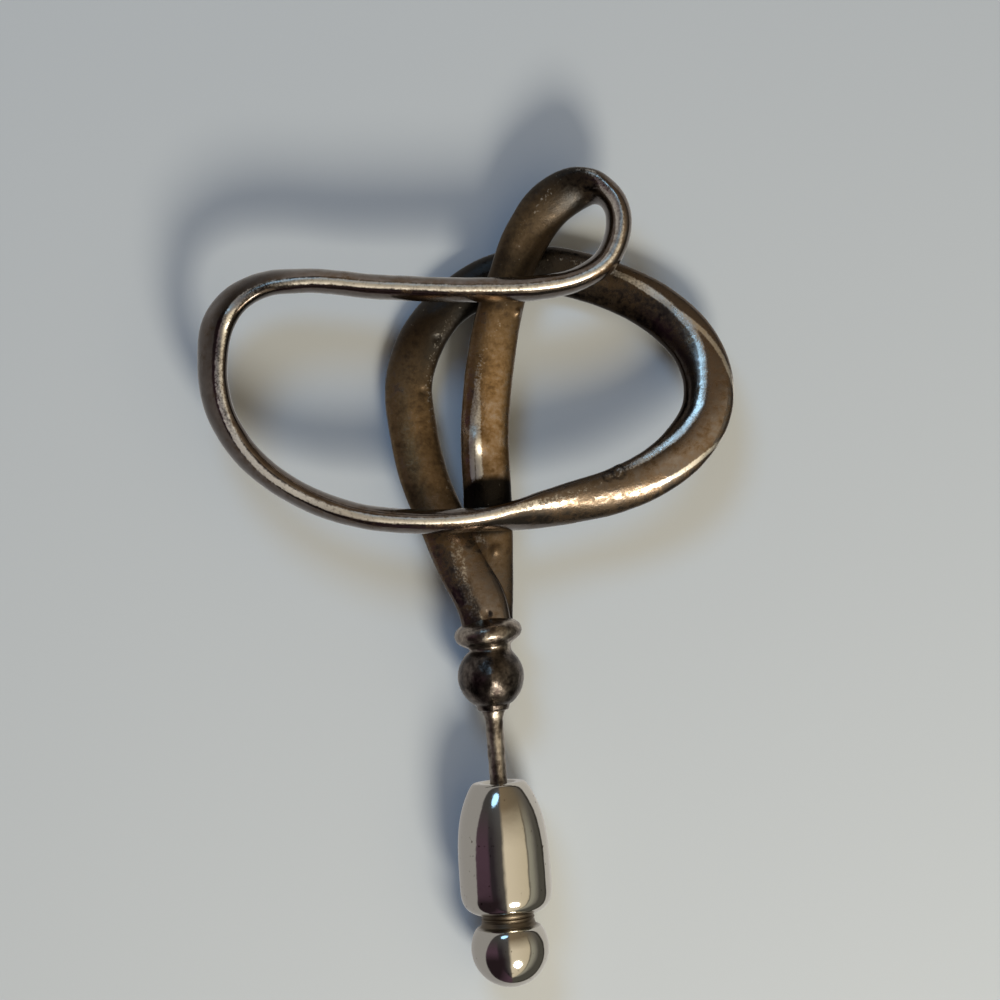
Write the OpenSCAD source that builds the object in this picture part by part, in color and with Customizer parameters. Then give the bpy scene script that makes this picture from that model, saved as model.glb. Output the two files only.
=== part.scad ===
// Flower pin: one cast silver band draws a flower, ends in a turned neck with a
// soldered pin wire, and the wire is pushed into a bullet-shaped clutch.
// Millimetres. The pin lies on its back on z = 0, with the flower towards +Y and
// the clutch towards -Y. The origin is under the middle of the whole part.

/* [Band] */
// Width of the band's broad face
band_width = 2.8; // [2.5:0.1:2.8]
// Thickness of the band
band_thick = 1.4; // [1.1:0.1:1.4]
// Squareness of the band's section, 1 for an ellipse and less for squarer edges
band_power = 0.85; // [0.7:0.05:1]

/* [Neck] */
// Diameter of the collar ring that both ends of the band run into
collar_d = 4.1; // [3.9:0.1:4.3]
// Thickness of the collar ring
collar_thick = 1.3; // [1.1:0.1:1.5]
// Lean of the collar ring, right side towards the flower
collar_lean = 5; // [0:1:8]
// Diameter of the waist between the collar ring and the ball
waist_d = 2.6; // [2.2:0.1:3]
// Diameter of the ball
ball_d = 4.0; // [3.6:0.1:4.4]
// Distance from the collar ring to the middle of the ball
ball_at = 2.6; // [2.4:0.1:2.8]

/* [Pin wire] */
// Diameter of the pin wire
wire_d = 1.05; // [0.8:0.05:1.1]
// Bare wire between the solder and the clutch
wire_bare = 3.75; // [2:0.25:6]
// Wire hidden inside the clutch, with its point
wire_inside = 5.2; // [4:0.1:5.2]
// Length of the ground point
point_len = 2.4; // [1.5:0.1:3]

/* [Clutch] */
// Largest diameter of the barrel
barrel_d = 5.5; // [5:0.1:6]
// Length of the barrel
barrel_len = 7.85; // [7.65:0.05:8.5]
// Diameter of the barrel's flat front end
nose_d = 3.2; // [2.6:0.1:3.6]
// Diameter of the ball knob
knob_d = 4.68; // [4:0.1:5]
// Diameter of the plunger that carries the knob
plunger_d = 3.2; // [2.8:0.1:3.2]
// Plunger that shows between the barrel and the knob
plunger_shows = 0.8; // [0.6:0.1:1]
// How far the knob pulls out
knob_travel = 0.8; // [0.4:0.1:0.8]
// Clearance round each sliding piece
clearance = 0.055; // [0.03:0.005:0.08]

/* [Hidden] */

// Where the collar ring stands, so that the origin is under the part's middle
collar_x = 0.3;
collar_y = -3.1;
// The whole row of turned pieces lies at the height of the barrel's radius
axis_z = barrel_d / 2;

// Columns of ROUTE. The roll turns the band's broad face up at 0 and stands it on
// its edge at -90, with the flower's inner edge on top. The swell is added to the
// width.
X = 0;
Y = 1;
Z = 2;
ROLL = 3;
SWELL = 4;
// The middle of the band from end to end, x and y from the collar ring, z from
// the surface that the pin lies on
ROUTE = [
    // limb 1 rises from the collar ring, over limb 2, and dips to the back
    [0.0, -0.2, 3.0, 0, 0],
    [-0.2, 1.6, 3.05, 4, 0.1],
    [-1.2, 4.1, 2.9, 8, 0.2],
    [-2.3, 6.9, 2.45, 10, 0],
    [-3.2, 9.6, 1.95, 6, 0],
    [-3.7, 12.8, 1.25, 0, 0],
    [-3.75, 15.4, 0.9, -8, 0],
    [-2.8, 17.9, 0.8, -12, 0],
    [-0.9, 20.0, 0.8, -10, -0.2],
    // back strand, under everything else
    [1.2, 21.1, 0.75, 0, 0],
    [4.5, 21.7, 0.75, 4, 0],
    [8.0, 20.8, 0.85, 5, 0],
    // right petal, broad face up
    [12.1, 18.3, 1.5, 8, 0.1],
    [13.6, 16.4, 2.2, 3, 0.1],
    [14.2, 14.4, 2.85, 3, 0.1],
    [13.9, 12.2, 3.45, 5, 0.1],
    [12.9, 10.7, 3.8, 4, 0.1],
    [10.9, 9.1, 4.05, -8, 0],
    [8.1, 7.95, 4.15, -24, 0],
    [5.8, 7.5, 4.2, -36, 0],
    // lower front strand, on its edge, over both limbs
    [3.4, 7.1, 4.3, -52, 0],
    [1.7, 6.9, 4.5, -70, 0],
    [0.0, 6.85, 4.7, -83, 0],
    [-3.5, 6.95, 4.8, -88, 0],
    [-7.6, 7.7, 4.6, -86, 0],
    // left petal, its upper edge leaning inwards
    [-10.8, 9.2, 4.4, -80, 0],
    [-12.4, 10.4, 4.3, -76, 0],
    [-13.9, 12.1, 4.2, -70, 0],
    [-15.0, 14.4, 4.2, -64, 0],
    [-15.2, 17.4, 4.2, -59, 0],
    [-14.7, 19.6, 4.2, -53, 0],
    [-13.7, 20.8, 4.3, -60, 0],
    [-12.0, 21.6, 4.4, -72, 0],
    // upper front strand, on its edge, over limb 2 and the back strand
    [-9.7, 21.7, 4.5, -83, 0],
    [-5.0, 21.0, 4.6, -90, 0],
    [1.0, 20.4, 4.75, -90, 0],
    [4.5, 20.3, 4.7, -90, 0],
    [6.6, 20.6, 4.6, -87, 0],
    // curl, turning the band over
    [8.5, 21.6, 4.5, -80, 0],
    [9.4, 23.4, 4.3, -79, 0],
    [9.4, 24.9, 3.95, -81, 0],
    [8.85, 25.8, 3.6, -76, -0.1],
    [8.15, 26.2, 3.4, -55, -0.2],
    [7.2, 26.2, 3.2, -30, -0.1],
    [5.8, 25.6, 2.95, -15, 0],
    [4.0, 23.6, 2.6, -20, 0],
    // limb 2 runs back down between the strands to the collar ring
    [2.8, 21.2, 2.4, -20, -0.2],
    [2.1, 19.4, 2.4, -17, -0.1],
    [1.3, 16.3, 2.4, -10, 0],
    [0.7, 12.6, 2.4, -7, 0],
    [0.5, 7.0, 2.35, -2, 0],
    [0.3, 3.5, 2.4, 0, 0],
    [0.0, -0.2, 2.5, 0, 0],
];
// The row where the band is cut in two solids, because its ends merge
SEAM = 49;
LAST = len(ROUTE) - 1;
// Sides of the band's section, and the longest step between two sections
sides = 16;
ring_step = 0.9;

function place(row) = [row[X], row[Y], row[Z]];
function unit(v) = v / norm(v);
function power(v, exponent) = sign(v) * pow(abs(v), exponent);

// Length along the route at each row
KNOTS = [
    for (i = 0, s = 0; i <= LAST; s = s + (i < LAST ? norm(place(ROUTE[i + 1]) - place(ROUTE[i])) : 0), i = i + 1)
    s
];
function span(i) = KNOTS[i + 1] - KNOTS[i];
function step_slope(i) = (ROUTE[i + 1] - ROUTE[i]) / span(i);
function slope(i) = i == 0 ? step_slope(0)
    : i == LAST ? step_slope(LAST - 1)
    : (step_slope(i - 1) * span(i) + step_slope(i) * span(i - 1)) / (span(i - 1) + span(i));

// The row at fraction f between rows i and i + 1, on one smooth curve
function blend(i, f) =
    ROUTE[i] * (2 * pow(f, 3) - 3 * f * f + 1) + slope(i) * span(i) * (pow(f, 3) - 2 * f * f + f)
    + ROUTE[i + 1] * (3 * f * f - 2 * pow(f, 3)) + slope(i + 1) * span(i) * (pow(f, 3) - f * f);
function heading(i, f) = unit(place(
    (ROUTE[i + 1] - ROUTE[i]) * (6 * f - 6 * f * f) / span(i)
    + slope(i) * (3 * f * f - 4 * f + 1) + slope(i + 1) * (3 * f * f - 2 * f)));

// One section of the band, square to its heading and turned by its roll
function section(i, f) =
    let (
        row = blend(i, f),
        ahead = heading(i, f),
        side = unit(cross([0, 0, 1], ahead)),
        up = cross(ahead, side),
        broad = cos(row[ROLL]) * side + sin(row[ROLL]) * up,
        thin = cos(row[ROLL]) * up - sin(row[ROLL]) * side,
        half_width = (band_width + row[SWELL]) / 2,
        half_thick = band_thick / 2
    )
    [
        for (k = [0:sides - 1])
        let (turn = 360 * k / sides)
        place(row) + broad * half_width * power(cos(turn), band_power)
        + thin * half_thick * power(sin(turn), band_power)
    ];

// The band between two rows of the route, as one closed solid
module strand(from, to) {
    rings = [
        for (i = [from:to - 1])
        let (steps = max(2, ceil(span(i) / ring_step)))
        for (j = [0:steps - (i == to - 1 ? 0 : 1)])
        section(i, j / steps)
    ];
    count = len(rings);
    function at(ring, k) = ring * sides + k % sides;
    polyhedron(
        points = [for (ring = rings) for (point = ring) point],
        faces = [
            for (k = [1:sides - 2])
            for (face = [
                [at(0, 0), at(0, k), at(0, k + 1)],
                [at(count - 1, 0), at(count - 1, k + 1), at(count - 1, k)],
            ])
            face,
            for (ring = [0:count - 2])
            for (k = [0:sides - 1])
            for (face = [
                [at(ring, k), at(ring + 1, k), at(ring + 1, k + 1)],
                [at(ring, k), at(ring + 1, k + 1), at(ring, k + 1)],
            ])
            face
        ]
    );
}

// Children stand on the pin's axis, at a distance from the collar ring and
// pointing towards the clutch
module on_axis(distance) {
    translate([collar_x, collar_y - distance, axis_z])
        rotate([90, 0, 0])
            children();
}

// Below the ball a small foot carries the wire in a cone of solder
foot_d = 1.92;
foot_at = 4.3;
foot_len = 0.35;
foot_sunk = 0.4;
solder_d = 1.45;
solder_len = 0.55;
wire_from = foot_at + foot_len + solder_len;
barrel_at = wire_from + wire_bare;
wire_end = barrel_at + wire_inside;
// Inside the clutch the wire tapers a little, then runs down to its point
grip_d = wire_d - 0.1;
taper_len = 0.7;

module neck() {
    tube_r = collar_thick / 2;
    translate([collar_x, collar_y, axis_z])
        rotate([0, 0, collar_lean])
            rotate([90, 0, 0]) {
                rotate_extrude($fn = 48)
                    translate([collar_d / 2 - tube_r, 0])
                        circle(r = tube_r, $fn = 24);
                cylinder(d = collar_d - collar_thick, h = collar_thick, center = true, $fn = 48);
            }
    on_axis(0)
        cylinder(d = waist_d, h = ball_at, $fn = 48);
    on_axis(ball_at)
        sphere(d = ball_d, $fn = 64);
    on_axis(foot_at - foot_sunk)
        cylinder(d = foot_d, h = foot_len + foot_sunk, $fn = 48);
}

module pin_wire() {
    on_axis(foot_at + foot_len)
        cylinder(d1 = solder_d, d2 = wire_d, h = solder_len, $fn = 48);
    on_axis(ball_at)
        cylinder(d = wire_d, h = barrel_at - ball_at, $fn = 48);
    on_axis(barrel_at)
        cylinder(d1 = wire_d, d2 = grip_d, h = taper_len, $fn = 48);
    on_axis(ball_at)
        cylinder(d = grip_d, h = wire_end - point_len - ball_at, $fn = 48);
    on_axis(wire_end - point_len)
        cylinder(d1 = grip_d, d2 = grip_d / 4, h = point_len, $fn = 48);
}

module flower() {
    color("#7d6a55") {
        translate([collar_x, collar_y, 0]) {
            strand(0, SEAM);
            strand(SEAM, LAST);
        }
        neck();
        pin_wire();
    }
}

// The barrel swells from its nose to its widest place and rounds in at its end
end_len = 1.85;
end_reach = 2;
widest_at = barrel_len - end_len;
swell_power = 3.4;
end_power = 3.5;
function barrel_r(s) =
    s < widest_at
    ? nose_d / 2 + (barrel_d - nose_d) / 2 * (1 - pow((widest_at - s) / widest_at, swell_power))
    : barrel_d / 2 * pow(1 - pow((s - widest_at) / end_reach, end_power), 1 / end_power);
BARREL_STEPS = [
    for (k = [0:9]) widest_at * k / 10,
    for (k = [0:6]) widest_at + end_len * sin(15 * k),
];

// Inside the barrel: a bore with a lead-in for the wire, then a chamber for the
// plunger's flange, closed by a mouth
bore_d = wire_d + 2 * clearance;
lead_d = 2;
lead_len = 0.4;
chamber_d = 4.1;
chamber_len = 1.7;
mouth_len = 0.75;
bore_len = barrel_len - mouth_len - chamber_len;
flange_d = chamber_d - 2 * clearance;
flange_thick = 0.5;
flange_gap = 0.05;

module clutch_barrel() {
    outline = [for (s = BARREL_STEPS) [barrel_r(s), s]];
    color("#b9b6b2")
        on_axis(barrel_at)
            difference() {
                rotate_extrude($fn = 64)
                    polygon(concat([[0, 0]], outline, [[0, barrel_len]]));
                translate([0, 0, -1])
                    cylinder(d = bore_d, h = bore_len + 2, $fn = 32);
                cylinder(d1 = lead_d, d2 = bore_d, h = lead_len, $fn = 32);
                translate([0, 0, bore_len])
                    cylinder(d = chamber_d, h = chamber_len, $fn = 48);
                translate([0, 0, bore_len + chamber_len / 2])
                    cylinder(d = plunger_d + 2 * clearance, h = barrel_len, $fn = 48);
            }
}

module clutch_knob() {
    flange_at = bore_len + chamber_len - knob_travel - flange_thick - flange_gap;
    ball_top = barrel_len + plunger_shows;
    ball_r = knob_d / 2;
    // The ball is cut flat where the plunger meets it
    cut_r = 1.93;
    ball_mid = ball_top + sqrt(ball_r * ball_r - cut_r * cut_r);
    color("#b9b6b2")
        on_axis(barrel_at) {
            translate([0, 0, flange_at])
                cylinder(d = flange_d, h = flange_thick, $fn = 48);
            translate([0, 0, flange_at])
                cylinder(d = plunger_d, h = ball_mid - flange_at, $fn = 48);
            difference() {
                translate([0, 0, ball_mid])
                    sphere(r = ball_r, $fn = 64);
                translate([0, 0, ball_top - ball_r])
                    cylinder(r = ball_r, h = ball_r, $fn = 48);
            }
        }
}

flower();
clutch_barrel();
clutch_knob();
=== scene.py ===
import math

import bpy
from mathutils import Matrix, Quaternion, Vector
from mathutils.kdtree import KDTree


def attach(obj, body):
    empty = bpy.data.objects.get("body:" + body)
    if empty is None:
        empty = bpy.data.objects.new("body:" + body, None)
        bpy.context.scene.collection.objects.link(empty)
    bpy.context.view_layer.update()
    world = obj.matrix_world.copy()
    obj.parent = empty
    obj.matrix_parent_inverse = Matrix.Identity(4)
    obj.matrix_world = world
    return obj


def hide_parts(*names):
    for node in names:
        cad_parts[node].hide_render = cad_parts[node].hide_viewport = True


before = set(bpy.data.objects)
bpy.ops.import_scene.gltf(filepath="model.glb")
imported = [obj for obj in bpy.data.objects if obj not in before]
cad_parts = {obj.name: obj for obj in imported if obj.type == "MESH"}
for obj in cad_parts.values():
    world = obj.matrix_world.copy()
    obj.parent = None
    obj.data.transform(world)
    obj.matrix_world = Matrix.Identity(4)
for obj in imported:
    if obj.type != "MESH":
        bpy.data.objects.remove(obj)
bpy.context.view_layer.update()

bpy.ops.object.select_all(action="DESELECT")

MM = 0.001

# The pin's own sizes in millimetres, as in the solids. The collar ring is the place that the
# band, the neck, the wire and the clutch are all measured from
COLLAR_X = 0.3
COLLAR_Y = -3.1
AXIS_Z = 2.75
BAND_WIDTH = 2.8
BAND_THICK = 1.4
BARREL_AT = 8.95
BARREL_LEN = 7.85
BARREL_D = 5.5
NOSE_D = 3.2
KNOB_D = 4.68
PLUNGER_SHOWS = 0.8
KNOB_TRAVEL = 0.8

# The middle of the band from end to end in millimetres: x and y from the collar
# ring, z from the surface, then the roll in degrees, the swell of the width, and
# four columns from 0 to 1: how far its crest is rubbed bright, how brown its film is,
# how black the film is, partly as painted shade, and how much painted shade darkens the
# right half. The last two columns are where the crest and a second rubbed line run, in
# degrees round the section from its left edge
ROUTE = [
    # limb 1 rises from the collar ring, over limb 2, and dips to the back
    (0.0, -0.2, 3.0, 0, 0, 0.2, 0.2, 0.45, 0, 100, 80),
    (-0.2, 1.6, 3.05, 4, 0.1, 0.35, 0.25, 0.45, 0, 70, 55),
    (-1.2, 4.1, 2.9, 8, 0.2, 0.35, 0.4, 0.4, 0, 85, 70),
    (-2.3, 6.9, 2.45, 10, 0, 0.2, 0.8, 0.4, 0.2, 130, 110),
    (-3.2, 9.6, 1.95, 6, 0, 0.2, 1, 0.35, 0.3, 155, 155),
    (-3.7, 12.8, 1.25, 0, 0, 0.2, 1, 0.3, 0.35, 155, 155),
    (-3.75, 15.4, 0.9, -8, 0, 0.2, 1, 0.6, 0.5, 152, 152),
    (-2.8, 17.9, 0.8, -12, 0, 0.2, 1, 0.9, 0.7, 140, 140),
    (-0.9, 20.0, 0.8, -10, -0.2, 0.1, 1, 1, 0, 120, 120),
    # back strand, under everything else
    (1.2, 21.1, 0.75, 0, 0, 0.1, 0.8, 1, 0, 80, 80),
    (4.5, 21.7, 0.75, 4, 0, 0.1, 0.7, 1, 0, 60, 60),
    (8.0, 20.8, 0.85, 5, 0, 0.4, 0.6, 0.8, 0.6, 55, 55),
    # right petal, broad face up
    (12.1, 18.3, 1.5, 8, 0.1, 1, 0.35, 0.5, 0.8, 66, 66),
    (13.6, 16.4, 2.2, 3, 0.1, 1, 0.3, 0.25, 0.85, 78, 53),
    (14.2, 14.4, 2.85, 3, 0.1, 1, 0.3, 0.15, 0.85, 98, 30),
    (13.9, 12.2, 3.45, 5, 0.1, 1, 0.3, 0.15, 0.8, 109, -15),
    (12.9, 10.7, 3.8, 4, 0.1, 1, 0.35, 0.2, 0.7, 119, 31),
    (10.9, 9.1, 4.05, -8, 0, 0.9, 0.32, 0.3, 0.5, 138, 60),
    (8.1, 7.95, 4.15, -24, 0, 0.25, 0.5, 0.7, 0, 145, 86),
    (5.8, 7.5, 4.2, -36, 0, 0.25, 0.45, 0.65, 0, 135, 115),
    # lower front strand, on its edge, over both limbs
    (3.4, 7.1, 4.3, -52, 0, 0.45, 0.15, 0.35, 0, 150, 132),
    (1.7, 6.9, 4.5, -70, 0, 0.8, 0.15, 0.05, 0, 174, 164),
    (0.0, 6.85, 4.7, -83, 0, 1, 0.15, 0.1, 0, 180, 180),
    (-3.5, 6.95, 4.8, -88, 0, 1, 0.15, 0.1, 0, 180, 180),
    (-7.6, 7.7, 4.6, -86, 0, 1, 0.08, 0.1, 0, 172, 165),
    # left petal, its upper edge leaning inwards
    (-10.8, 9.2, 4.4, -80, 0, 1, 0, 0.2, 0, 160, 160),
    (-12.4, 10.4, 4.3, -76, 0, 1, 0, 0.2, 0, 154, 154),
    (-13.9, 12.1, 4.2, -70, 0, 1, 0, 0.3, 0, 154, 154),
    (-15.0, 14.4, 4.2, -64, 0, 0.7, 0, 0.4, 0, 162, 152),
    (-15.2, 17.4, 4.2, -59, 0, 0.7, 0.05, 0.4, 0.3, 166, 154),
    (-14.7, 19.6, 4.2, -53, 0, 0.9, 0.25, 0.4, 0.7, 156, 150),
    (-13.7, 20.8, 4.3, -60, 0, 1, 0.25, 0.4, 0.8, 155, 148),
    (-12.0, 21.6, 4.4, -72, 0, 0.5, 0.15, 0.35, 0.5, 160, 160),
    # upper front strand, on its edge, over limb 2 and the back strand
    (-9.7, 21.7, 4.5, -83, 0, 0.85, 0.15, 0.1, 0, 177, 177),
    (-5.0, 21.0, 4.6, -90, 0, 1, 0.15, 0.1, 0, 180, 180),
    (1.0, 20.4, 4.75, -90, 0, 0.85, 0.15, 0.1, 0, 180, 180),
    (4.5, 20.3, 4.7, -90, 0, 0.8, 0.15, 0.2, 0, 180, 180),
    (6.6, 20.6, 4.6, -87, 0, 0.9, 0.15, 0.1, 0, 178, 178),
    # curl, turning the band over
    (8.5, 21.6, 4.5, -80, 0, 0.8, 0.2, 0.1, 0, 172, 158),
    (9.4, 23.4, 4.3, -79, 0, 0.8, 0.1, 0.1, 0, 164, 150),
    (9.4, 24.9, 3.95, -81, 0, 0.8, 0.1, 0.1, 0, 160, 145),
    (8.85, 25.8, 3.6, -76, -0.1, 0.6, 0.2, 0.4, 0, 160, 148),
    (8.15, 26.2, 3.4, -55, -0.2, 0.5, 0.4, 0.8, 0, 170, 170),
    (7.2, 26.2, 3.2, -30, -0.1, 0.1, 0.8, 1, 0, 160, 160),
    (5.8, 25.6, 2.95, -15, 0, 0.2, 1, 0.9, 0, 118, 118),
    (4.0, 23.6, 2.6, -20, 0, 0.1, 1, 0.75, 0, 120, 120),
    # limb 2 runs back down between the strands to the collar ring, and a rub below 0 ends its
    # bright patch sooner
    (2.8, 21.2, 2.4, -20, -0.2, 0.1, 0.95, 0.7, 0, 100, 100),
    (2.1, 19.4, 2.4, -17, -0.1, 0.1, 0.95, 0.6, 0, 90, 90),
    (1.3, 16.3, 2.4, -10, 0, 0.3, 0.85, 0.2, 0, 120, 112),
    (0.7, 12.6, 2.4, -7, 0, 0.8, 0.7, 0, 0, 112, 126),
    (0.5, 7.0, 2.35, -2, 0, 1, 0.8, 0.5, 0, 107, 122),
    (0.3, 3.5, 2.4, 0, 0, -0.5, 0.6, 0.7, 0, 107, 122),
    (0.0, -0.2, 2.5, 0, 0, 0.1, 0.6, 0.8, 0, 107, 122),
]
ROLL = 3
SWELL = 4
RUB = 5
# What a point of the band keeps for its finish: its distance along the band, then the last
# columns of the route. In a station they follow its centre, turn, half width and half thickness
KEPT_COLUMNS = ("along", "rub", "film", "dark", "shady", "ridge", "shoulder")
ALONG = 4

# Beads, bubbles and pits of the casting in millimetres: x and y from the collar ring and
# z from the surface, then the radius, and how far the spot is pulled in x, y and z
LUMPS = [
    # worn shoulder and bead on limb 2
    (0.0, 11.5, 3.1, 1.1, 0, 0, 0.28),
    (3.4, 19.0, 2.9, 0.4, 0.1, 0, 0.18),
    # bubble in the crevice between the limbs
    (0.8, 4.9, 3.1, 0.45, 0, 0, 0.14),
    # corner outside the lower right strand
    (14.9, 11.2, 1.4, 0.9, 0.14, -0.1, 0.05),
    # rise in the left petal's rim, whose far side mirrors the window
    (-14.5, 19.9, 5.3, 1.3, 0, 0, 0.25),
    # pits on limb 1 and beside the collar ring
    (-2.9, 14.8, 1.6, 0.4, 0, 0, -0.12),
    (-1.9, 17.9, 1.5, 0.4, 0, 0, -0.12),
    (-2.6, 5.0, 3.3, 0.35, 0, 0, -0.1),
    (0.0, 1.2, 3.7, 0.4, 0, 0, -0.12),
]
# Round beads of the casting on the inner edge of the lower right strand, in the same columns
BEADS = [
    (8.4, 9.05, 4.4, 0.36, 0, 0.06, 0.3),
    (7.75, 8.85, 4.4, 0.28, 0, 0.04, 0.2),
]
# A low rise on the front of the ball
BALL_LUMPS = [
    (0.1, -2.6, 4.75, 0.95, 0, 0, 0.13),
]


def colour(code):
    """A linear colour from an sRGB hex value."""
    parts = [int(code[i:i + 2], 16) / 255 for i in (1, 3, 5)]
    return tuple(c / 12.92 if c <= 0.04045 else ((c + 0.055) / 1.055) ** 2.4 for c in parts) + (1.0,)


def add(tree, kind, inputs=None, **settings):
    """Adds a node. An input is a value or a (node, output) pair, by its name or number."""
    made = tree.nodes.new(kind)
    for name, value in settings.items():
        setattr(made, name, value)
    for name, value in (inputs or {}).items():
        if isinstance(value, tuple) and isinstance(value[0], bpy.types.Node):
            tree.links.new(value[0].outputs[value[1]], made.inputs[name])
        else:
            made.inputs[name].default_value = value
    return made


# Shaping

# A turn smaller than this many radians is none
NO_TURN = 1e-7


def start_circle(name, corners, filled=True):
    """A new piece that is one flat circle of radius 1."""
    bpy.ops.mesh.primitive_circle_add(
        vertices=corners, radius=1.0, fill_type="NGON" if filled else "NOTHING")
    piece = bpy.context.object
    piece.name = name
    piece.data.name = name
    return piece


def stand_ring(station):
    """Makes the circle the first ring of a sweep. A station is a centre, a turn, and a half width
    and half thickness in millimetres."""
    centre, turn, half_width, half_thick = station[:ALONG]
    bpy.ops.mesh.select_all(action="SELECT")
    bpy.ops.transform.resize(value=(half_width * MM, half_thick * MM, 1), center_override=(0, 0, 0))
    bpy.ops.transform.translate(value=centre)
    turn_ring(turn, centre)


def turn_ring(turn, centre):
    """Turns what is selected about a place, with the 3D cursor's Z standing along the axis."""
    axis, angle = turn.to_axis_angle()
    if abs(angle) < NO_TURN:
        return
    cursor = bpy.context.scene.cursor
    cursor.rotation_mode = "QUATERNION"
    cursor.rotation_quaternion = axis.to_track_quat("Z", "Y")
    bpy.ops.transform.rotate(
        value=-angle, orient_axis="Z", orient_type="CURSOR", center_override=centre)


def next_ring(old, new):
    """Extrudes the ring from one station to the next."""
    old_centre, old_turn, old_width, old_thick = old[:ALONG]
    centre, turn, width, thick = new[:ALONG]
    bpy.ops.mesh.extrude_region_move(TRANSFORM_OT_translate={"value": centre - old_centre})
    turn_ring(turn @ old_turn.inverted(), centre)
    bpy.context.scene.cursor.rotation_quaternion = turn
    bpy.ops.transform.resize(
        value=(width / old_width, thick / old_thick, 1), orient_type="CURSOR", center_override=centre)


def finish_mesh(piece, levels):
    """Closes the work on a piece: normals outwards, subdivision, smooth shading."""
    bpy.ops.mesh.select_all(action="SELECT")
    bpy.ops.mesh.normals_make_consistent(inside=False)
    bpy.ops.object.mode_set(mode="OBJECT")
    smooth = piece.modifiers.new("Smooth", "SUBSURF")
    smooth.levels = levels
    smooth.render_levels = levels
    bpy.ops.object.modifier_apply(modifier=smooth.name)
    bpy.ops.object.shade_smooth()
    bpy.ops.object.select_all(action="DESELECT")


def turned(name, profile, corners=48, closed=True):
    """A lathe-turned piece on the pin's axis, from rows of distance from the collar ring and
    radius in millimetres. What is close to the ring leans with it. A piece that isn't closed is
    a tube, whose last row joins its first."""
    along = Quaternion((1, 0, 0), math.radians(90))
    ring_middle = Vector((COLLAR_X, COLLAR_Y, AXIS_Z)) * MM

    def station(distance, radius):
        leaning = Quaternion((0, 0, 1), math.radians(RING_LEAN if distance < LEAN_UNTIL else 0))
        centre = ring_middle + leaning @ Vector((0, -distance * MM, 0))
        return centre, leaning @ along, radius, radius

    stations = [station(*row) for row in profile]
    piece = start_circle(name, corners, filled=closed)
    bpy.ops.object.mode_set(mode="EDIT")
    stand_ring(stations[0])
    for old, new in zip(stations, stations[1:]):
        next_ring(old, new)
    if not closed:
        bpy.ops.object.mode_set(mode="OBJECT")
        total = len(piece.data.vertices)
        ends = set(range(corners)) | set(range(total - corners, total))
        for edge in piece.data.edges:
            edge.select = set(edge.vertices) <= ends
        for face in piece.data.polygons:
            face.select = False
        bpy.ops.object.mode_set(mode="EDIT")
        bpy.ops.mesh.select_mode(type="EDGE")
        bpy.ops.mesh.bridge_edge_loops()
        bpy.ops.mesh.select_mode(type="VERT")
    finish_mesh(piece, 1)
    return piece


# Millimetres over which the roughness fades out
FADE = 1.2


def roughen(piece, size, strength, until=None):
    """Displaces a piece along its normals by soft noise of a size and strength in millimetres.
    The noise fades out towards a distance from the collar ring, if there is one."""
    noise = bpy.data.textures.new(piece.name + "_unevenness", "CLOUDS")
    noise.noise_scale = size * MM
    noise.noise_depth = 2
    push = piece.modifiers.new("Unevenness", "DISPLACE")
    push.texture = noise
    push.texture_coords = "LOCAL"
    push.mid_level = 0.5
    push.strength = strength * MM
    if until:
        skin = piece.vertex_groups.new(name="rough_skin")
        for vertex in piece.data.vertices:
            left = until - (COLLAR_Y - vertex.co.y / MM)
            skin.add([vertex.index], max(0.0, min(1.0, left / FADE)), "REPLACE")
        push.vertex_group = skin.name
    bpy.context.view_layer.objects.active = piece
    bpy.ops.object.modifier_apply(modifier=push.name)
    piece.vertex_groups.clear()


def pull_lumps(piece, rows, falloff="SMOOTH"):
    """Pulls each lump or pit of a table out of the nearest spot on a piece."""
    for x, y, z, radius, *pull in rows:
        spot = Vector((COLLAR_X + x, COLLAR_Y + y, z)) * MM
        nearest = min(piece.data.vertices, key=lambda vertex: (vertex.co - spot).length).index
        bpy.context.view_layer.objects.active = piece
        bpy.ops.object.mode_set(mode="EDIT")
        bpy.ops.mesh.select_mode(type="VERT")
        bpy.ops.mesh.select_all(action="DESELECT")
        bpy.ops.object.mode_set(mode="OBJECT")
        piece.data.vertices[nearest].select = True
        bpy.ops.object.mode_set(mode="EDIT")
        bpy.ops.transform.translate(
            value=Vector(pull) * MM, use_proportional_edit=True, proportional_edit_falloff=falloff,
            proportional_size=radius * MM, use_proportional_connected=True)
        bpy.ops.object.mode_set(mode="OBJECT")


# The band

BAND_CORNERS = 16
BAND_STEP = 0.6
# A ring of 16 corners shrinks by this much when it is subdivided
RING_SHRINK = 0.975
# The corners off the band's two main axes stand out, so its section is fuller than an ellipse
SECTION_FULL = 1.04


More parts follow.
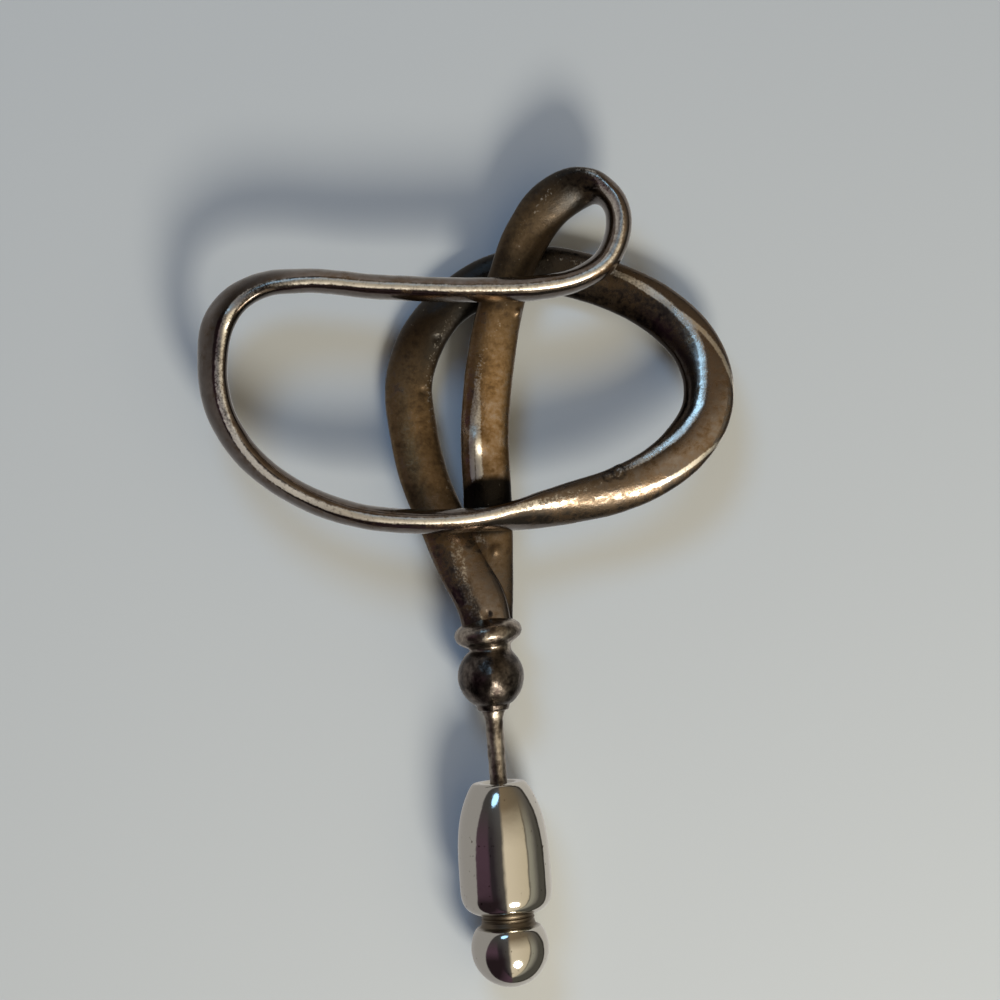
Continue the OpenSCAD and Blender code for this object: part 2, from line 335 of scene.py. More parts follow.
def band_stations():
    """Every station along the band, on the same smooth curve as the solids: its centre, turn, half
    width, half thickness, distance along the band and the last columns of the table."""
    middle = [Vector(row[:3]) for row in ROUTE]
    last = len(ROUTE) - 1
    spans = [(middle[i + 1] - middle[i]).length for i in range(last)]
    steps = [[(b - a) / spans[i] for a, b in zip(ROUTE[i], ROUTE[i + 1])] for i in range(last)]

    def slope(i):
        if i in (0, last):
            return steps[min(i, last - 1)]
        total = spans[i - 1] + spans[i]
        return [(a * spans[i] + b * spans[i - 1]) / total for a, b in zip(steps[i - 1], steps[i])]

    stations = []
    run = 0.0
    for i in range(last):
        count = max(2, math.ceil(spans[i] / BAND_STEP))
        before = slope(i)
        after = slope(i + 1)
        for j in range(count + (i == last - 1)):
            f = j / count
            # How much of each row and of the slope there goes into the curve at this fraction
            near = 2 * f ** 3 - 3 * f * f + 1
            near_slope = f ** 3 - 2 * f * f + f
            far = 3 * f * f - 2 * f ** 3
            far_slope = f ** 3 - f * f
            row = [
                a * near + m * spans[i] * near_slope + b * far + n * spans[i] * far_slope
                for a, m, b, n in zip(ROUTE[i], before, ROUTE[i + 1], after)
            ]
            # The same for the curve's heading
            rise = 6 * f - 6 * f * f
            near_rise = 3 * f * f - 4 * f + 1
            far_rise = 3 * f * f - 2 * f
            ahead = Vector([
                (b - a) * rise / spans[i] + m * near_rise + n * far_rise
                for a, m, b, n in zip(ROUTE[i][:3], before[:3], ROUTE[i + 1][:3], after[:3])
            ]).normalized()
            side = Vector((0, 0, 1)).cross(ahead).normalized()
            up = ahead.cross(side)
            roll = math.radians(row[ROLL])
            broad = math.cos(roll) * side + math.sin(roll) * up
            thin = math.cos(roll) * up - math.sin(roll) * side
            turn = Matrix((broad, thin, ahead)).transposed().to_quaternion()
            centre = Vector((row[0] + COLLAR_X, row[1] + COLLAR_Y, row[2])) * MM
            stations.append((
                centre, turn,
                (BAND_WIDTH + row[SWELL]) / 2 / RING_SHRINK, BAND_THICK / 2 / RING_SHRINK,
                run + f * spans[i], *row[RUB:],
            ))
        run += spans[i]
    return stations


def mark_ring(piece, station):
    """Gives the selected ring what its points keep, for the finish to read."""
    for name, value in zip(KEPT_COLUMNS, station[ALONG:]):
        piece.data.attributes.active = piece.data.attributes[name]
        bpy.ops.mesh.attribute_set(value_float=value)


def make_band(stations):
    """The band, swept through its stations. Each point also keeps where it is on the section."""
    piece = start_circle("silver_band", BAND_CORNERS)
    for name in (*KEPT_COLUMNS, "across", "face"):
        piece.data.attributes.new(name, "FLOAT", "POINT")
    for vertex in piece.data.vertices:
        piece.data.attributes["across"].data[vertex.index].value = vertex.co.x
        piece.data.attributes["face"].data[vertex.index].value = vertex.co.y
        vertex.select = vertex.index % (BAND_CORNERS // 4) != 0
    bpy.ops.object.mode_set(mode="EDIT")
    bpy.ops.mesh.select_mode(type="VERT")
    bpy.ops.transform.resize(value=(SECTION_FULL, SECTION_FULL, 1), center_override=(0, 0, 0))
    stand_ring(stations[0])
    mark_ring(piece, stations[0])
    for old, new in zip(stations, stations[1:]):
        next_ring(old, new)
        mark_ring(piece, new)
    finish_mesh(piece, 2)
    return piece


# A strand this near, in millimetres, casts a painted shadow, a little further to its north
# side and much less to its south, and only partly where it is less than the rise above
SHADOW_NEAR = 2.4
SHADOW_FAR = 2.7
NORTH_REACH = 0.45
SOUTH_REACH = 1.2
SHADOW_RISE = 0.4
# Stations further apart along the band than this belong to another strand
STRAND_APART = 7.0
# The second rubbed line is narrower than the crest line by this much
SHOULDER_NARROW = 1.4
# In radii of a bead: how far out its top is rubbed, and where a dark ring runs round its foot
BEAD_TOP = 0.6
BEAD_FOOT = 1.05
BEAD_FOOT_WIDTH = 0.35


def section_spot(turn):
    """The place on the band's section, in millimetres, at a turn in radians from its left edge."""
    return Vector((BAND_WIDTH / 2 * math.cos(turn), BAND_THICK / 2 * math.sin(turn)))


def note_wear_and_shade(piece, stations):
    """Records how far each part of the band faces up, how near it is to a crest line of its
    section, how deep it lies in the painted shadow of another strand above, and how near the
    foot of a bead it is."""
    marks = piece.data.attributes
    for name in ("upward", "crest", "covered", "bead_foot"):
        marks.new(name, "FLOAT", "POINT")
    tree = KDTree(len(stations))
    for i, station in enumerate(stations):
        tree.insert(station[0], i)
    tree.balance()
    for vertex in piece.data.vertices:
        i = vertex.index
        here = section_spot(math.atan2(marks["face"].data[i].value, marks["across"].data[i].value))
        ridge, shoulder = (
            (here - section_spot(math.radians(marks[line].data[i].value))).length
            for line in ("ridge", "shoulder"))
        marks["upward"].data[i].value = max(0.0, vertex.normal.z)
        marks["crest"].data[i].value = 1 - min(ridge, shoulder * SHOULDER_NARROW)
        for centre, other, distance in tree.find_range(vertex.co, (SHADOW_FAR + NORTH_REACH) * MM):
            above = (centre.z - vertex.co.z) / MM
            if above > 0 and abs(stations[other][ALONG] - marks["along"].data[i].value) > STRAND_APART:
                lean = (vertex.co.y - centre.y) / distance
                reach = distance / MM - lean * (NORTH_REACH if lean > 0 else SOUTH_REACH)
                close = max(0.0, min(1.0, (SHADOW_FAR - reach) / (SHADOW_FAR - SHADOW_NEAR)))
                covered = max(marks["covered"].data[i].value, close * min(1.0, above / SHADOW_RISE))
                marks["covered"].data[i].value = covered
        for x, y, _, radius, *_ in BEADS:
            beside = math.hypot(vertex.co.x / MM - COLLAR_X - x, vertex.co.y / MM - COLLAR_Y - y) / radius
            foot = max(0.0, 1 - abs(beside - BEAD_FOOT) / BEAD_FOOT_WIDTH)
            if beside < BEAD_TOP:
                marks["crest"].data[i].value = 1.0
            marks["bead_foot"].data[i].value = max(marks["bead_foot"].data[i].value, foot)


# Neck and wire

# The collar ring leans, right side towards the flower, by this many degrees, and the lean ends
# this many millimetres below it
RING_LEAN = 5
LEAN_UNTIL = 1.0
# Distance from the collar ring's middle and radius, in millimetres
COLLAR_ROWS = [
    (-1.0, 0.9), (-0.75, 1.25), (-0.62, 1.6), (-0.42, 1.9), (-0.15, 2.05), (0.15, 2.05),
    (0.42, 1.9), (0.62, 1.6), (0.75, 1.3), (0.95, 1.22),
]
BALL_ROWS = [
    (1.12, 1.33), (1.4, 1.59), (1.8, 1.83), (2.2, 1.96), (2.61, 2.0), (3.0, 1.96), (3.4, 1.84),
    (3.8, 1.61), (4.1, 1.335), (4.25, 1.145), (4.28, 0.97), (4.65, 0.96), (4.66, 0.75),
]
WIRE_ROWS = [
    (4.5, 0.74), (4.66, 0.73), (4.8, 0.66), (5.0, 0.58), (5.2, 0.53), (5.4, 0.525), (8.95, 0.525),
    (9.65, 0.475), (11.75, 0.475), (13.9, 0.16), (14.1, 0.1), (14.15, 0.05),
]
# Longest step between two rings of the wire
WIRE_STEP = 0.15


def make_neck():
    """The collar ring, the waist and the ball, with the foot that carries the wire."""
    return turned("turned_neck", COLLAR_ROWS + BALL_ROWS)


def make_wire():
    """The pin wire, from its cone of solder to its ground point."""
    rows = []
    for (d0, r0), (d1, r1) in zip(WIRE_ROWS, WIRE_ROWS[1:]):
        count = max(1, round((d1 - d0) / WIRE_STEP))
        rows += [(d0 + (d1 - d0) * k / count, r0 + (r1 - r0) * k / count) for k in range(count)]
    rows.append(WIRE_ROWS[-1])
    return turned("pin_wire", rows, corners=24)


# Clutch, in millimetres from the barrel's nose

# The barrel swells up to its widest place, then rounds in so that it would close at its full
# reach. A higher power of its curves gives a flatter side and a tighter corner
WIDEST = 6.0
FULL_REACH = 2.0
SWELL_POWER = 3.4
ROUND_POWER = 3.5
# Steps of the swell, and of the rounding with the degrees of each
SWELL_STEPS = 14
ROUND_STEPS = 12
ROUND_STEP = 7.5
# Distance and radius of the nose with the mouth of its bore, and of the chamber behind the bore
CHAMBER_END = 7.1
NOSE_ROWS = [(0.4, 0.6), (0.05, 0.98), (0.0, 1.06), (0.0, 1.4), (0.03, 1.55), (0.12, 1.66)]
CHAMBER_ROWS = [
    (7.85, 1.72), (7.8, 1.655), (CHAMBER_END, 1.655), (CHAMBER_END, 2.05), (5.4, 2.05), (5.4, 0.58),
]
# The knob's flange, from its own end, and the gap behind it when the knob is pulled out
FLANGE_ROWS = [(0, 0.2), (0, 1.9), (0.05, 1.99), (0.45, 1.99), (0.5, 1.9), (0.5, 1.6)]
FLANGE_GAP = 0.05
# The knob's neck with two turned grooves
NECK_ROWS = [
    (7.9, 1.6), (8.0, 1.6), (8.03, 1.52), (8.08, 1.52), (8.11, 1.6), (8.22, 1.6), (8.25, 1.52),
    (8.3, 1.52), (8.33, 1.6), (8.55, 1.62), (8.65, 1.72), (8.67, 1.93),
]
# The neck's middle along Y, and how far its dull finish and painted shade reach to each
# side, with a soft edge
NECK_Y = COLLAR_Y - BARREL_AT - BARREL_LEN - PLUNGER_SHOWS / 2
NECK_SHADE_AND_DULL = 0.35
NECK_EDGE = 0.5
# Rings of the ball, whose last stops a little short of its pole
BALL_RINGS = 14
POLE_GAP = 0.4


def barrel_radius(s):
    """The barrel's outer radius at a distance from its nose."""
    if s < WIDEST:
        return NOSE_D / 2 + (BARREL_D - NOSE_D) / 2 * (1 - ((WIDEST - s) / WIDEST) ** SWELL_POWER)
    return BARREL_D / 2 * (1 - ((s - WIDEST) / FULL_REACH) ** ROUND_POWER) ** (1 / ROUND_POWER)


def make_barrel():
    """The bullet-shaped barrel, a tube from its bore round the outside to its chamber."""
    spots = [WIDEST * k / SWELL_STEPS for k in range(1, SWELL_STEPS)]
    for k in range(ROUND_STEPS + 1):
        spots.append(WIDEST + (BARREL_LEN - WIDEST) * math.sin(math.radians(ROUND_STEP * k)))
    profile = NOSE_ROWS + [(s, barrel_radius(s)) for s in spots] + CHAMBER_ROWS
    return turned("clutch_barrel_shell", [(BARREL_AT + s, r) for s, r in profile], corners=64, closed=False)


def make_knob():
    """The ball knob, with its grooved neck and the flange that keeps it in the barrel."""
    flange = CHAMBER_END - KNOB_TRAVEL - FLANGE_ROWS[-1][0] - FLANGE_GAP
    rows = [(flange + s, r) for s, r in FLANGE_ROWS] + NECK_ROWS
    ball_r = KNOB_D / 2
    rim_r = NECK_ROWS[-1][1]
    middle = BARREL_LEN + PLUNGER_SHOWS + math.sqrt(ball_r ** 2 - rim_r ** 2)
    start = math.asin(rim_r / ball_r)
    for k in range(1, BALL_RINGS + 1):
        angle = start + (math.pi - start) * k / (BALL_RINGS + POLE_GAP)
        rows.append((middle - ball_r * math.cos(angle), ball_r * math.sin(angle)))
    return turned("clutch_ball_knob", [(BARREL_AT + s, r) for s, r in rows], corners=64)


# Finishes


def finish(name):
    """A new material with an empty tree."""
    material = bpy.data.materials.new(name)
    material.use_nodes = True
    tree = material.node_tree
    tree.nodes.clear()
    return material, tree


def close_finish(tree, shader):
    """Ends a material's tree in its shader."""
    add(tree, "ShaderNodeOutputMaterial", {"Surface": (shader, "BSDF")})


def oxidised_cast_silver():
    """Cast silver under a dark sulphide film, brown on the limbs and grey elsewhere, rubbed
    through to bare silver along its crest, with painted shade on its flanks, under strands above
    and on shady stretches. The eye gets mottled bronze faces, dark glossy flanks and a narrow
    bright line."""
    material, tree = finish("oxidised_cast_silver")
    metres = (add(tree, "ShaderNodeTexCoord"), "Object")
    # Mottling of the film, in patches about 1.2 mm and 0.35 mm across, and grain of 0.12 mm
    broad = add(tree, "ShaderNodeTexNoise", {
        "Vector": metres, "Scale": 0.8 / MM, "Detail": 3.0, "Roughness": 0.6})
    fine = add(tree, "ShaderNodeTexNoise", {
        "Vector": metres, "Scale": 3.0 / MM, "Detail": 3.0, "Roughness": 0.65})
    grain = add(tree, "ShaderNodeTexNoise", {
        "Vector": metres, "Scale": 8.0 / MM, "Detail": 2.0, "Roughness": 0.6})
    rub, film, dark, shady, across, crest, upward, covered, bead_foot = (
        (add(tree, "ShaderNodeAttribute", attribute_name=name), "Fac")
        for name in ("rub", "film", "dark", "shady", "across", "crest", "upward", "covered", "bead_foot"))
    mottle = add(tree, "ShaderNodeMath", {0: (broad, "Fac"), 1: (fine, "Fac")}, operation="ADD")
    depth = (add(tree, "ShaderNodeMapRange", {
        "Value": (mottle, 0), "From Min": 0.7, "From Max": 1.3}), "Result")
    brown = add(tree, "ShaderNodeMix", {
        "Factor": depth, 6: colour("#6e5539"), 7: colour("#b49164")}, data_type="RGBA")
    grey = add(tree, "ShaderNodeMix", {
        "Factor": depth, 6: colour("#72665f"), 7: colour("#998d85")}, data_type="RGBA")
    kept = add(tree, "ShaderNodeMath", {0: film, 1: depth}, operation="SUBTRACT")
    kept = (add(tree, "ShaderNodeMapRange", {
        "Value": (kept, 0), "From Min": -0.4, "From Max": 0.4}), "Result")
    metal = add(tree, "ShaderNodeMix", {"Factor": kept, 6: (grey, 2), 7: (brown, 2)}, data_type="RGBA")
    # The flanks are darker the less they face up: painted shade, and a thicker film where no polishing
    # cloth reaches
    flank_shade = add(tree, "ShaderNodeMapRange", {
        "Value": upward, "From Min": 0.15, "From Max": 0.85, "To Min": 0.26, "To Max": 1.0})
    # The dark column blackens the film: partly the film's own tone, partly painted shade on stretches in
    # shade
    black = add(tree, "ShaderNodeMapRange", {"Value": dark, "To Min": 1.0, "To Max": 0.05})
    shade = add(tree, "ShaderNodeMath", {0: (flank_shade, "Result"), 1: (black, "Result")}, operation="MULTIPLY")
    # Painted shade: the right half of the face is darker on the shady stretches
    right = add(tree, "ShaderNodeMapRange", {
        "Value": across, "From Min": -0.1, "From Max": -0.55, "To Max": 0.9})
    right = add(tree, "ShaderNodeMath", {0: (right, "Result"), 1: shady}, operation="MULTIPLY")
    right = add(tree, "ShaderNodeMath", {0: 1.0, 1: (right, 0)}, operation="SUBTRACT")
    shade = add(tree, "ShaderNodeMath", {0: (shade, 0), 1: (right, 0)}, operation="MULTIPLY")
    # Painted shadow of a strand above, blackest on a rubbed stretch; it also hides the rubbed line there
    edge = add(tree, "ShaderNodeMapRange", {"Value": rub, "From Min": 0.3, "From Max": 0.7, "To Min": 0.35})
    covered = add(tree, "ShaderNodeMath", {0: covered, 1: (edge, "Result")}, operation="MULTIPLY")
    out_of_shadow = add(tree, "ShaderNodeMapRange", {"Value": (covered, 0), "To Min": 1.0, "To Max": 0.04})
    shade = add(tree, "ShaderNodeMath", {0: (shade, 0), 1: (out_of_shadow, "Result")}, operation="MULTIPLY")
    metal = add(tree, "ShaderNodeMix", {
        "Factor": (shade, 0), 6: (0.0, 0.0, 0.0, 1.0), 7: (metal, 2)}, data_type="RGBA")
    # The crest is rubbed bright in a narrow line with broken edges
    line = add(tree, "ShaderNodeMapRange", {"Value": crest, "From Min": 0.71, "From Max": 0.87})
    worn = add(tree, "ShaderNodeMath", {0: (line, "Result"), 1: rub}, operation="MULTIPLY")
    worn = add(tree, "ShaderNodeMath", {0: (worn, 0), 1: (out_of_shadow, "Result")}, operation="MULTIPLY")
    specks = add(tree, "ShaderNodeMath", {0: (fine, "Fac"), 1: (grain, "Fac")}, operation="ADD")
    broken = add(tree, "ShaderNodeMath", {0: (specks, 0), 1: (worn, 0)}, operation="ADD")
    bright = (add(tree, "ShaderNodeMapRange", {
        "Value": (broken, 0), "From Min": 1.3, "From Max": 1.95}), "Result")
    metal = add(tree, "ShaderNodeMix", {
        "Factor": bright, 6: (metal, 2), 7: colour("#e8e0d4")}, data_type="RGBA")
    # A dark ring round the foot of each bead
    metal = add(tree, "ShaderNodeMix", {
        "Factor": bead_foot, 6: (metal, 2), 7: colour("#1c1613")}, data_type="RGBA")
    # Brown film is rough, grey film glossy, and rubbed metal satin, glossiest where a middling film
    # was polished away
    rough = add(tree, "ShaderNodeMapRange", {"Value": kept, "To Min": 0.14, "To Max": 0.4})
    satin = add(tree, "ShaderNodeMath", {0: film, 1: 0.3}, operation="SUBTRACT")
    satin = add(tree, "ShaderNodeMath", {0: (satin, 0)}, operation="ABSOLUTE")
    satin = add(tree, "ShaderNodeMapRange", {
        "Value": (satin, 0), "From Max": 0.15, "To Min": 0.22, "To Max": 0.43})
    rough = add(tree, "ShaderNodeMix", {
        "Factor": bright, 2: (rough, "Result"), 3: (satin, "Result")}, data_type="FLOAT")
    pitting = (add(tree, "ShaderNodeMapRange", {"Value": kept, "To Min": 0.08, "To Max": 0.35}), "Result")
    relief = add(tree, "ShaderNodeBump", {
        "Height": (grain, "Fac"), "Strength": pitting, "Distance": 0.03 * MM})
    relief = add(tree, "ShaderNodeBump", {
        "Height": (fine, "Fac"), "Strength": pitting, "Distance": 0.06 * MM, "Normal": (relief, "Normal")})
    # A thick brown film is no longer metal
    crust = add(tree, "ShaderNodeMath", {0: dark, 1: kept}, operation="MULTIPLY")
    bare = add(tree, "ShaderNodeMapRange", {"Value": (crust, 0), "To Min": 1.0, "To Max": 0.3})
    # Where no film is left at all, fine scratches scatter the light
    scratched = add(tree, "ShaderNodeMapRange", {
        "Value": film, "From Min": 0.0, "From Max": 0.08, "To Min": 0.45, "To Max": 0.0})
    scratched = add(tree, "ShaderNodeMath", {0: (scratched, "Result"), 1: bright}, operation="MULTIPLY")
    bare = add(tree, "ShaderNodeMath", {0: (bare, "Result"), 1: (scratched, 0)}, operation="SUBTRACT")
    shader = add(tree, "ShaderNodeBsdfPrincipled", {
        "Base Color": (metal, 2), "Metallic": (bare, 0), "Roughness": (rough, 0),
        "Normal": (relief, "Normal")})
    close_finish(tree, shader)
    return material


# The dark ball lies between these distances from the collar ring, with a soft change over
BALL_FROM = 1.2
BALL_TO = 4.6
BALL_BLEND = 0.3


def oxidised_turned_silver():
    """Silver turned on a lathe and darkened: smoother and greyer than the band. The eye gets a
    dark mottled ball with a few soft highlights, and a paler ring and wire."""
    material, tree = finish("oxidised_turned_silver")
    metres = (add(tree, "ShaderNodeTexCoord"), "Object")
    split = add(tree, "ShaderNodeSeparateXYZ", {"Vector": metres})
    # Patches of film about 0.8 mm across, with spots of 0.4 mm
    fine = add(tree, "ShaderNodeTexNoise", {
        "Vector": metres, "Scale": 2.5 / MM, "Detail": 4.0, "Roughness": 0.65})
    patch = add(tree, "ShaderNodeTexNoise", {"Vector": metres, "Scale": 1.2 / MM, "Detail": 2.0})
    patches = add(tree, "ShaderNodeMath", {0: (fine, "Fac"), 1: (patch, "Fac")}, operation="ADD")
    worn = add(tree, "ShaderNodeMapRange", {"Value": (patches, 0), "From Min": 0.8, "From Max": 1.25})
    wire = add(tree, "ShaderNodeMapRange", {
        "Value": (split, "Y"), "From Min": (COLLAR_Y - BALL_TO) * MM,
        "From Max": (COLLAR_Y - BALL_TO - BALL_BLEND) * MM})
    ring = add(tree, "ShaderNodeMapRange", {
        "Value": (split, "Y"), "From Min": (COLLAR_Y - BALL_FROM) * MM,
        "From Max": (COLLAR_Y - BALL_FROM + BALL_BLEND) * MM})
    plain = add(tree, "ShaderNodeMath", {0: (wire, "Result"), 1: (ring, "Result")}, operation="MAXIMUM")
    ball = add(tree, "ShaderNodeMix", {
        "Factor": (worn, "Result"), 6: colour("#2b2522"), 7: colour("#776e67")}, data_type="RGBA")
    pin = add(tree, "ShaderNodeMix", {
        "Factor": (worn, "Result"), 6: colour("#584e47"), 7: colour("#b3a99d")}, data_type="RGBA")
    metal = add(tree, "ShaderNodeMix", {"Factor": (plain, 0), 6: (ball, 2), 7: (pin, 2)}, data_type="RGBA")
    rough = add(tree, "ShaderNodeMapRange", {"Value": (wire, "Result"), "To Min": 0.27, "To Max": 0.38})
    relief = add(tree, "ShaderNodeBump", {"Height": (patches, 0), "Strength": 0.5, "Distance": 0.06 * MM})
    shader = add(tree, "ShaderNodeBsdfPrincipled", {
        "Base Color": (metal, 2), "Metallic": 1.0, "Roughness": (rough, "Result"),
        "Normal": (relief, "Normal")})
    close_finish(tree, shader)
    return material


def bright_nickel_plate():
    """Nickel plate over turned brass: a warm mirror that reflects the room in long bands with
    slightly wavy edges, dull and darkened by painted shade in the neck between barrel and knob,
    with a few dark specks."""
    material, tree = finish("bright_nickel_plate")
    metres = (add(tree, "ShaderNodeTexCoord"), "Object")
    # Waviness 1.2 mm and 0.3 mm across
    broad = add(tree, "ShaderNodeTexNoise", {"Vector": metres, "Scale": 0.8 / MM, "Detail": 1.0})
    fine = add(tree, "ShaderNodeTexNoise", {"Vector": metres, "Scale": 3.5 / MM, "Detail": 2.0})
    split = add(tree, "ShaderNodeSeparateXYZ", {"Vector": metres})
    # Painted shade and a rougher finish in the recessed neck between barrel and knob
    beside = add(tree, "ShaderNodeMath", {0: (split, "Y"), 1: NECK_Y * MM}, operation="SUBTRACT")
    beside = add(tree, "ShaderNodeMath", {0: (beside, 0)}, operation="ABSOLUTE")
    neck = (add(tree, "ShaderNodeMapRange", {
        "Value": (beside, 0), "From Min": NECK_EDGE * MM, "From Max": NECK_SHADE_AND_DULL * MM}), "Result")
    metal = add(tree, "ShaderNodeMix", {
        "Factor": neck, 6: colour("#cbc7bf"), 7: colour("#6f6456")}, data_type="RGBA")
    speck = add(tree, "ShaderNodeMapRange", {"Value": (fine, "Fac"), "From Min": 0.7, "From Max": 0.74})
    metal = add(tree, "ShaderNodeMix", {
        "Factor": (speck, "Result"), 6: (metal, 2), 7: colour("#6d6258")}, data_type="RGBA")
    rough = add(tree, "ShaderNodeMapRange", {"Value": neck, "To Min": 0.09, "To Max": 0.42})
    relief = add(tree, "ShaderNodeBump", {
        "Height": (broad, "Fac"), "Strength": 0.35, "Distance": 0.06 * MM})
    relief = add(tree, "ShaderNodeBump", {
        "Height": (fine, "Fac"), "Strength": 0.12, "Distance": 0.02 * MM, "Normal": (relief, "Normal")})
    shader = add(tree, "ShaderNodeBsdfPrincipled", {
        "Base Color": (metal, 2), "Metallic": 1.0, "Roughness": (rough, "Result"),
        "Normal": (relief, "Normal")})
    close_finish(tree, shader)
    return material


def pale_matt_board():
    """Board with a coat of pale grey paint, rolled on. The eye gets an even floor without a sheen."""
    material, tree = finish("pale_matt_board")
    shader = add(tree, "ShaderNodeBsdfPrincipled", {
        "Base Color": colour("#bfc2c4"), "Roughness": 0.75, "Specular IOR Level": 0.2})
    close_finish(tree, shader)
    return material


# Camera, light and floor

# The photo's view: its place in metres, its lens and sensor in millimetres, and the slope at which
# the pin stands in the picture
VIEW_FROM = (0.00157, 0.0048, 0.16)
VIEW_LENS = 94.35
VIEW_SENSOR = 36
VIEW_SLOPE = 0.07
# Soft lamps: direction from the pin, distance, width and height in metres, watts, tint, and
# whether the metal mirrors it
LAMPS = [
    ("north_window", (-0.23, 0.65, 0.72), 0.5, 0.19, 0.1, 0.13, (0.36, 0.66, 1.0), True),
    ("north_sky", (-0.22, 0.62, 0.75), 0.5, 0.25, 0.17, 0.67, (0.34, 0.6, 1.0), False),
    ("warm_lamp", (0.28, -0.72, 0.63), 0.22, 0.073, 0.073, 0.385, (1.0, 0.96, 0.84), True),
]
# Tones of the mirrored room by the angle from straight up, in degrees, positive towards +X: in
# its south and middle, and in its north
SOUTH_TONES = [
    (-180, "#594451"), (-40, "#594451"), (-34, "#352f34"), (-26, "#352f34"), (-18, "#4a4647"),
    (-4, "#5c5955"), (4, "#f6e9cf"), (60, "#e2d5b9"), (63, "#5c564c"), (67, "#adaa9b"),
    (76, "#a2a092"), (86, "#7c7971"), (94, "#595750"), (180, "#595750"),
]
NORTH_TONES = [
    (-180, "#4b4948"), (-40, "#4b4948"), (-4, "#5d5d5f"), (3, "#8e7d65"), (60, "#7c705d"),
    (94, "#69655f"), (180, "#69655f"),
]
# The camera looks down the pin at a slant to the real room, whose upright leans south-east here
ROOM_UPRIGHT = (0.36, -0.36, 0.86)
FLOOR_SIZE = 8.0


def make_camera():
    """The camera above the pin, at the photo's angle."""
    camera = bpy.data.cameras.new("photo_view")
    camera.lens = VIEW_LENS
    camera.sensor_width = VIEW_SENSOR
    camera.clip_start = 0.01
    camera.clip_end = 20
    holder = bpy.data.objects.new("photo_view", camera)
    holder.location = VIEW_FROM
    holder.rotation_euler = (0, 0, -math.atan(VIEW_SLOPE))
    bpy.context.scene.collection.objects.link(holder)
    bpy.context.scene.camera = holder


def make_lamp(name, towards, distance, wide, high, watts, tint, mirrored):
    """A soft light panel that faces the pin. Only matt surfaces see one that isn't mirrored."""
    lamp = bpy.data.lights.new(name, "AREA")
    lamp.shape = "ELLIPSE"
    lamp.size = wide
    lamp.size_y = high
    lamp.energy = watts
    lamp.color = tint
    holder = bpy.data.objects.new(name, lamp)
    direction = Vector(towards).normalized()
    holder.location = direction * distance
    holder.rotation_euler = direction.to_track_quat("Z", "Y").to_euler()
    holder.visible_camera = False
    holder.visible_glossy = mirrored
    bpy.context.scene.collection.objects.link(holder)


def blend_tones(tree, degrees, tones):
    """A ramp of tones over an angle from -180 to 180 degrees."""
    share = add(tree, "ShaderNodeMapRange", {"Value": degrees, "From Min": -180.0, "From Max": 180.0})
    ramp = add(tree, "ShaderNodeValToRGB", {"Fac": (share, "Result")})
    elements = ramp.color_ramp.elements
    elements[0].color = colour(tones[0][1])
    elements[1].color = colour(tones[-1][1])
    for angle, code in tones[1:-1]:
        elements.new((angle + 180) / 360).color = colour(code)
    return ramp, "Color"


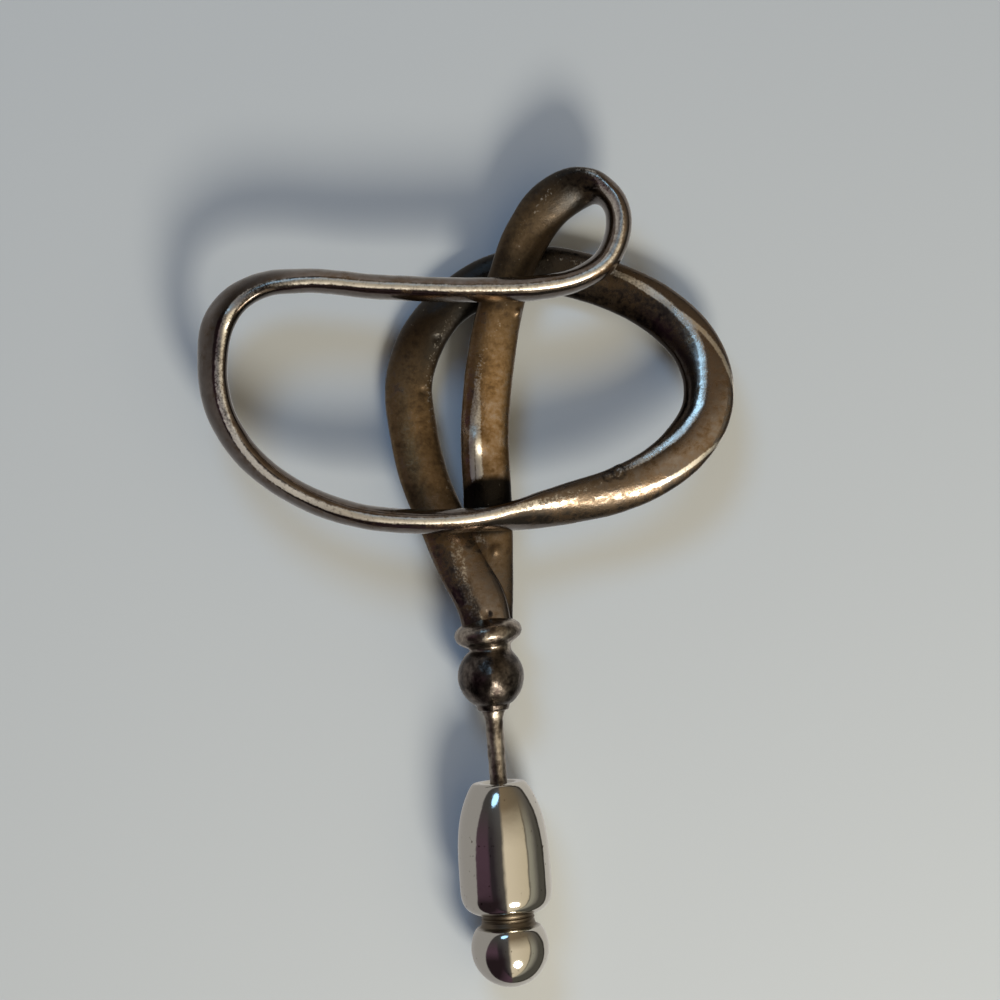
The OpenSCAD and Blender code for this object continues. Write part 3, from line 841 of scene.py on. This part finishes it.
def make_room():
    """The room that the metal mirrors: dark west of the zenith, a warm wall and ceiling east of
    it that are brightest in the south, a dark skirting at the horizon, and pale ground below."""
    world = bpy.data.worlds.new("room")
    bpy.context.scene.world = world
    world.use_nodes = True
    tree = world.node_tree
    tree.nodes.clear()
    way = (add(tree, "ShaderNodeTexCoord"), "Generated")
    split = add(tree, "ShaderNodeSeparateXYZ", {"Vector": way})
    tilt = add(tree, "ShaderNodeMath", {0: (split, "X"), 1: (split, "Z")}, operation="ARCTAN2")
    degrees = (add(tree, "ShaderNodeMath", {0: (tilt, 0)}, operation="DEGREES"), 0)
    south = blend_tones(tree, degrees, SOUTH_TONES)
    north = blend_tones(tree, degrees, NORTH_TONES)
    side = add(tree, "ShaderNodeMapRange", {"Value": (split, "Y"), "From Min": 0.55, "From Max": 0.0})
    walls = add(tree, "ShaderNodeMix", {
        "Factor": (side, "Result"), 6: north, 7: south}, data_type="RGBA")
    # Far to the south-west the room is darker still
    west = add(tree, "ShaderNodeMapRange", {"Value": (split, "X"), "From Min": -0.1, "From Max": -0.4})
    far_south = add(tree, "ShaderNodeMapRange", {
        "Value": (split, "Y"), "From Min": -0.1, "From Max": -0.45})
    corner = add(tree, "ShaderNodeMath", {
        0: (west, "Result"), 1: (far_south, "Result")}, operation="MULTIPLY")
    walls = add(tree, "ShaderNodeMix", {
        "Factor": (corner, 0), 6: (walls, 2), 7: colour("#2c2226")}, data_type="RGBA")
    height = (add(tree, "ShaderNodeVectorMath", {
        0: way, 1: ROOM_UPRIGHT}, operation="DOT_PRODUCT"), "Value")
    east = add(tree, "ShaderNodeMapRange", {"Value": (split, "X"), "From Min": -0.3, "From Max": 0.3})
    ground = add(tree, "ShaderNodeMix", {
        "Factor": (east, "Result"), 6: colour("#aaa8a6"), 7: colour("#cecbc5")}, data_type="RGBA")
    skirting = add(tree, "ShaderNodeMapRange", {"Value": height, "From Min": 0.06, "From Max": -0.02})
    skirting = add(tree, "ShaderNodeMath", {
        0: (skirting, "Result"), 1: (east, "Result")}, operation="MULTIPLY")
    walls = add(tree, "ShaderNodeMix", {
        "Factor": (skirting, 0), 6: (walls, 2), 7: colour("#3c3935")}, data_type="RGBA")
    below = add(tree, "ShaderNodeMapRange", {"Value": height, "From Min": -0.09, "From Max": -0.12})
    seen = add(tree, "ShaderNodeMix", {
        "Factor": (below, "Result"), 6: (walls, 2), 7: (ground, 2)}, data_type="RGBA")
    back = add(tree, "ShaderNodeBackground", {"Color": (seen, 2), "Strength": 1.0})
    add(tree, "ShaderNodeOutputWorld", {"Surface": (back, "Background")})


def make_floor(material):
    """The plain floor that the pin lies on."""
    bpy.ops.mesh.primitive_plane_add(size=FLOOR_SIZE, location=(0, 0, 0))
    floor = bpy.context.object
    floor.name = "pale_floor"
    floor.data.materials.append(material)
    # The metal mirrors the ground of the room instead, whose horizon leans
    floor.visible_glossy = False
    bpy.ops.object.select_all(action="DESELECT")


bpy.context.scene.view_settings.view_transform = "Standard"
make_camera()
make_room()
make_floor(pale_matt_board())
for lamp_row in LAMPS:
    make_lamp(*lamp_row)

band_places = band_stations()
band = make_band(band_places)
pull_lumps(band, LUMPS)
pull_lumps(band, BEADS, "SPHERE")
roughen(band, 1.6, 0.05)
note_wear_and_shade(band, band_places)
neck = make_neck()
pull_lumps(neck, BALL_LUMPS)
roughen(neck, 1.5, 0.06)
wire = make_wire()
roughen(wire, 0.6, 0.08, until=BARREL_AT + 1)
barrel = make_barrel()
knob = make_knob()

cast_silver = oxidised_cast_silver()
turned_silver = oxidised_turned_silver()
nickel = bright_nickel_plate()
for piece, material, body, node, slot in (
    (band, cast_silver, "pin", "flower", "oxidised_silver"),
    (neck, turned_silver, "pin", "flower", "oxidised_silver"),
    (wire, turned_silver, "pin", "flower", "oxidised_silver"),
    (barrel, nickel, "clutch", "clutch_barrel", "bright_nickel"),
    (knob, nickel, "knob", "clutch_knob", "bright_nickel"),
):
    piece.data.materials.append(material)
    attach(piece, body)
    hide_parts(node)
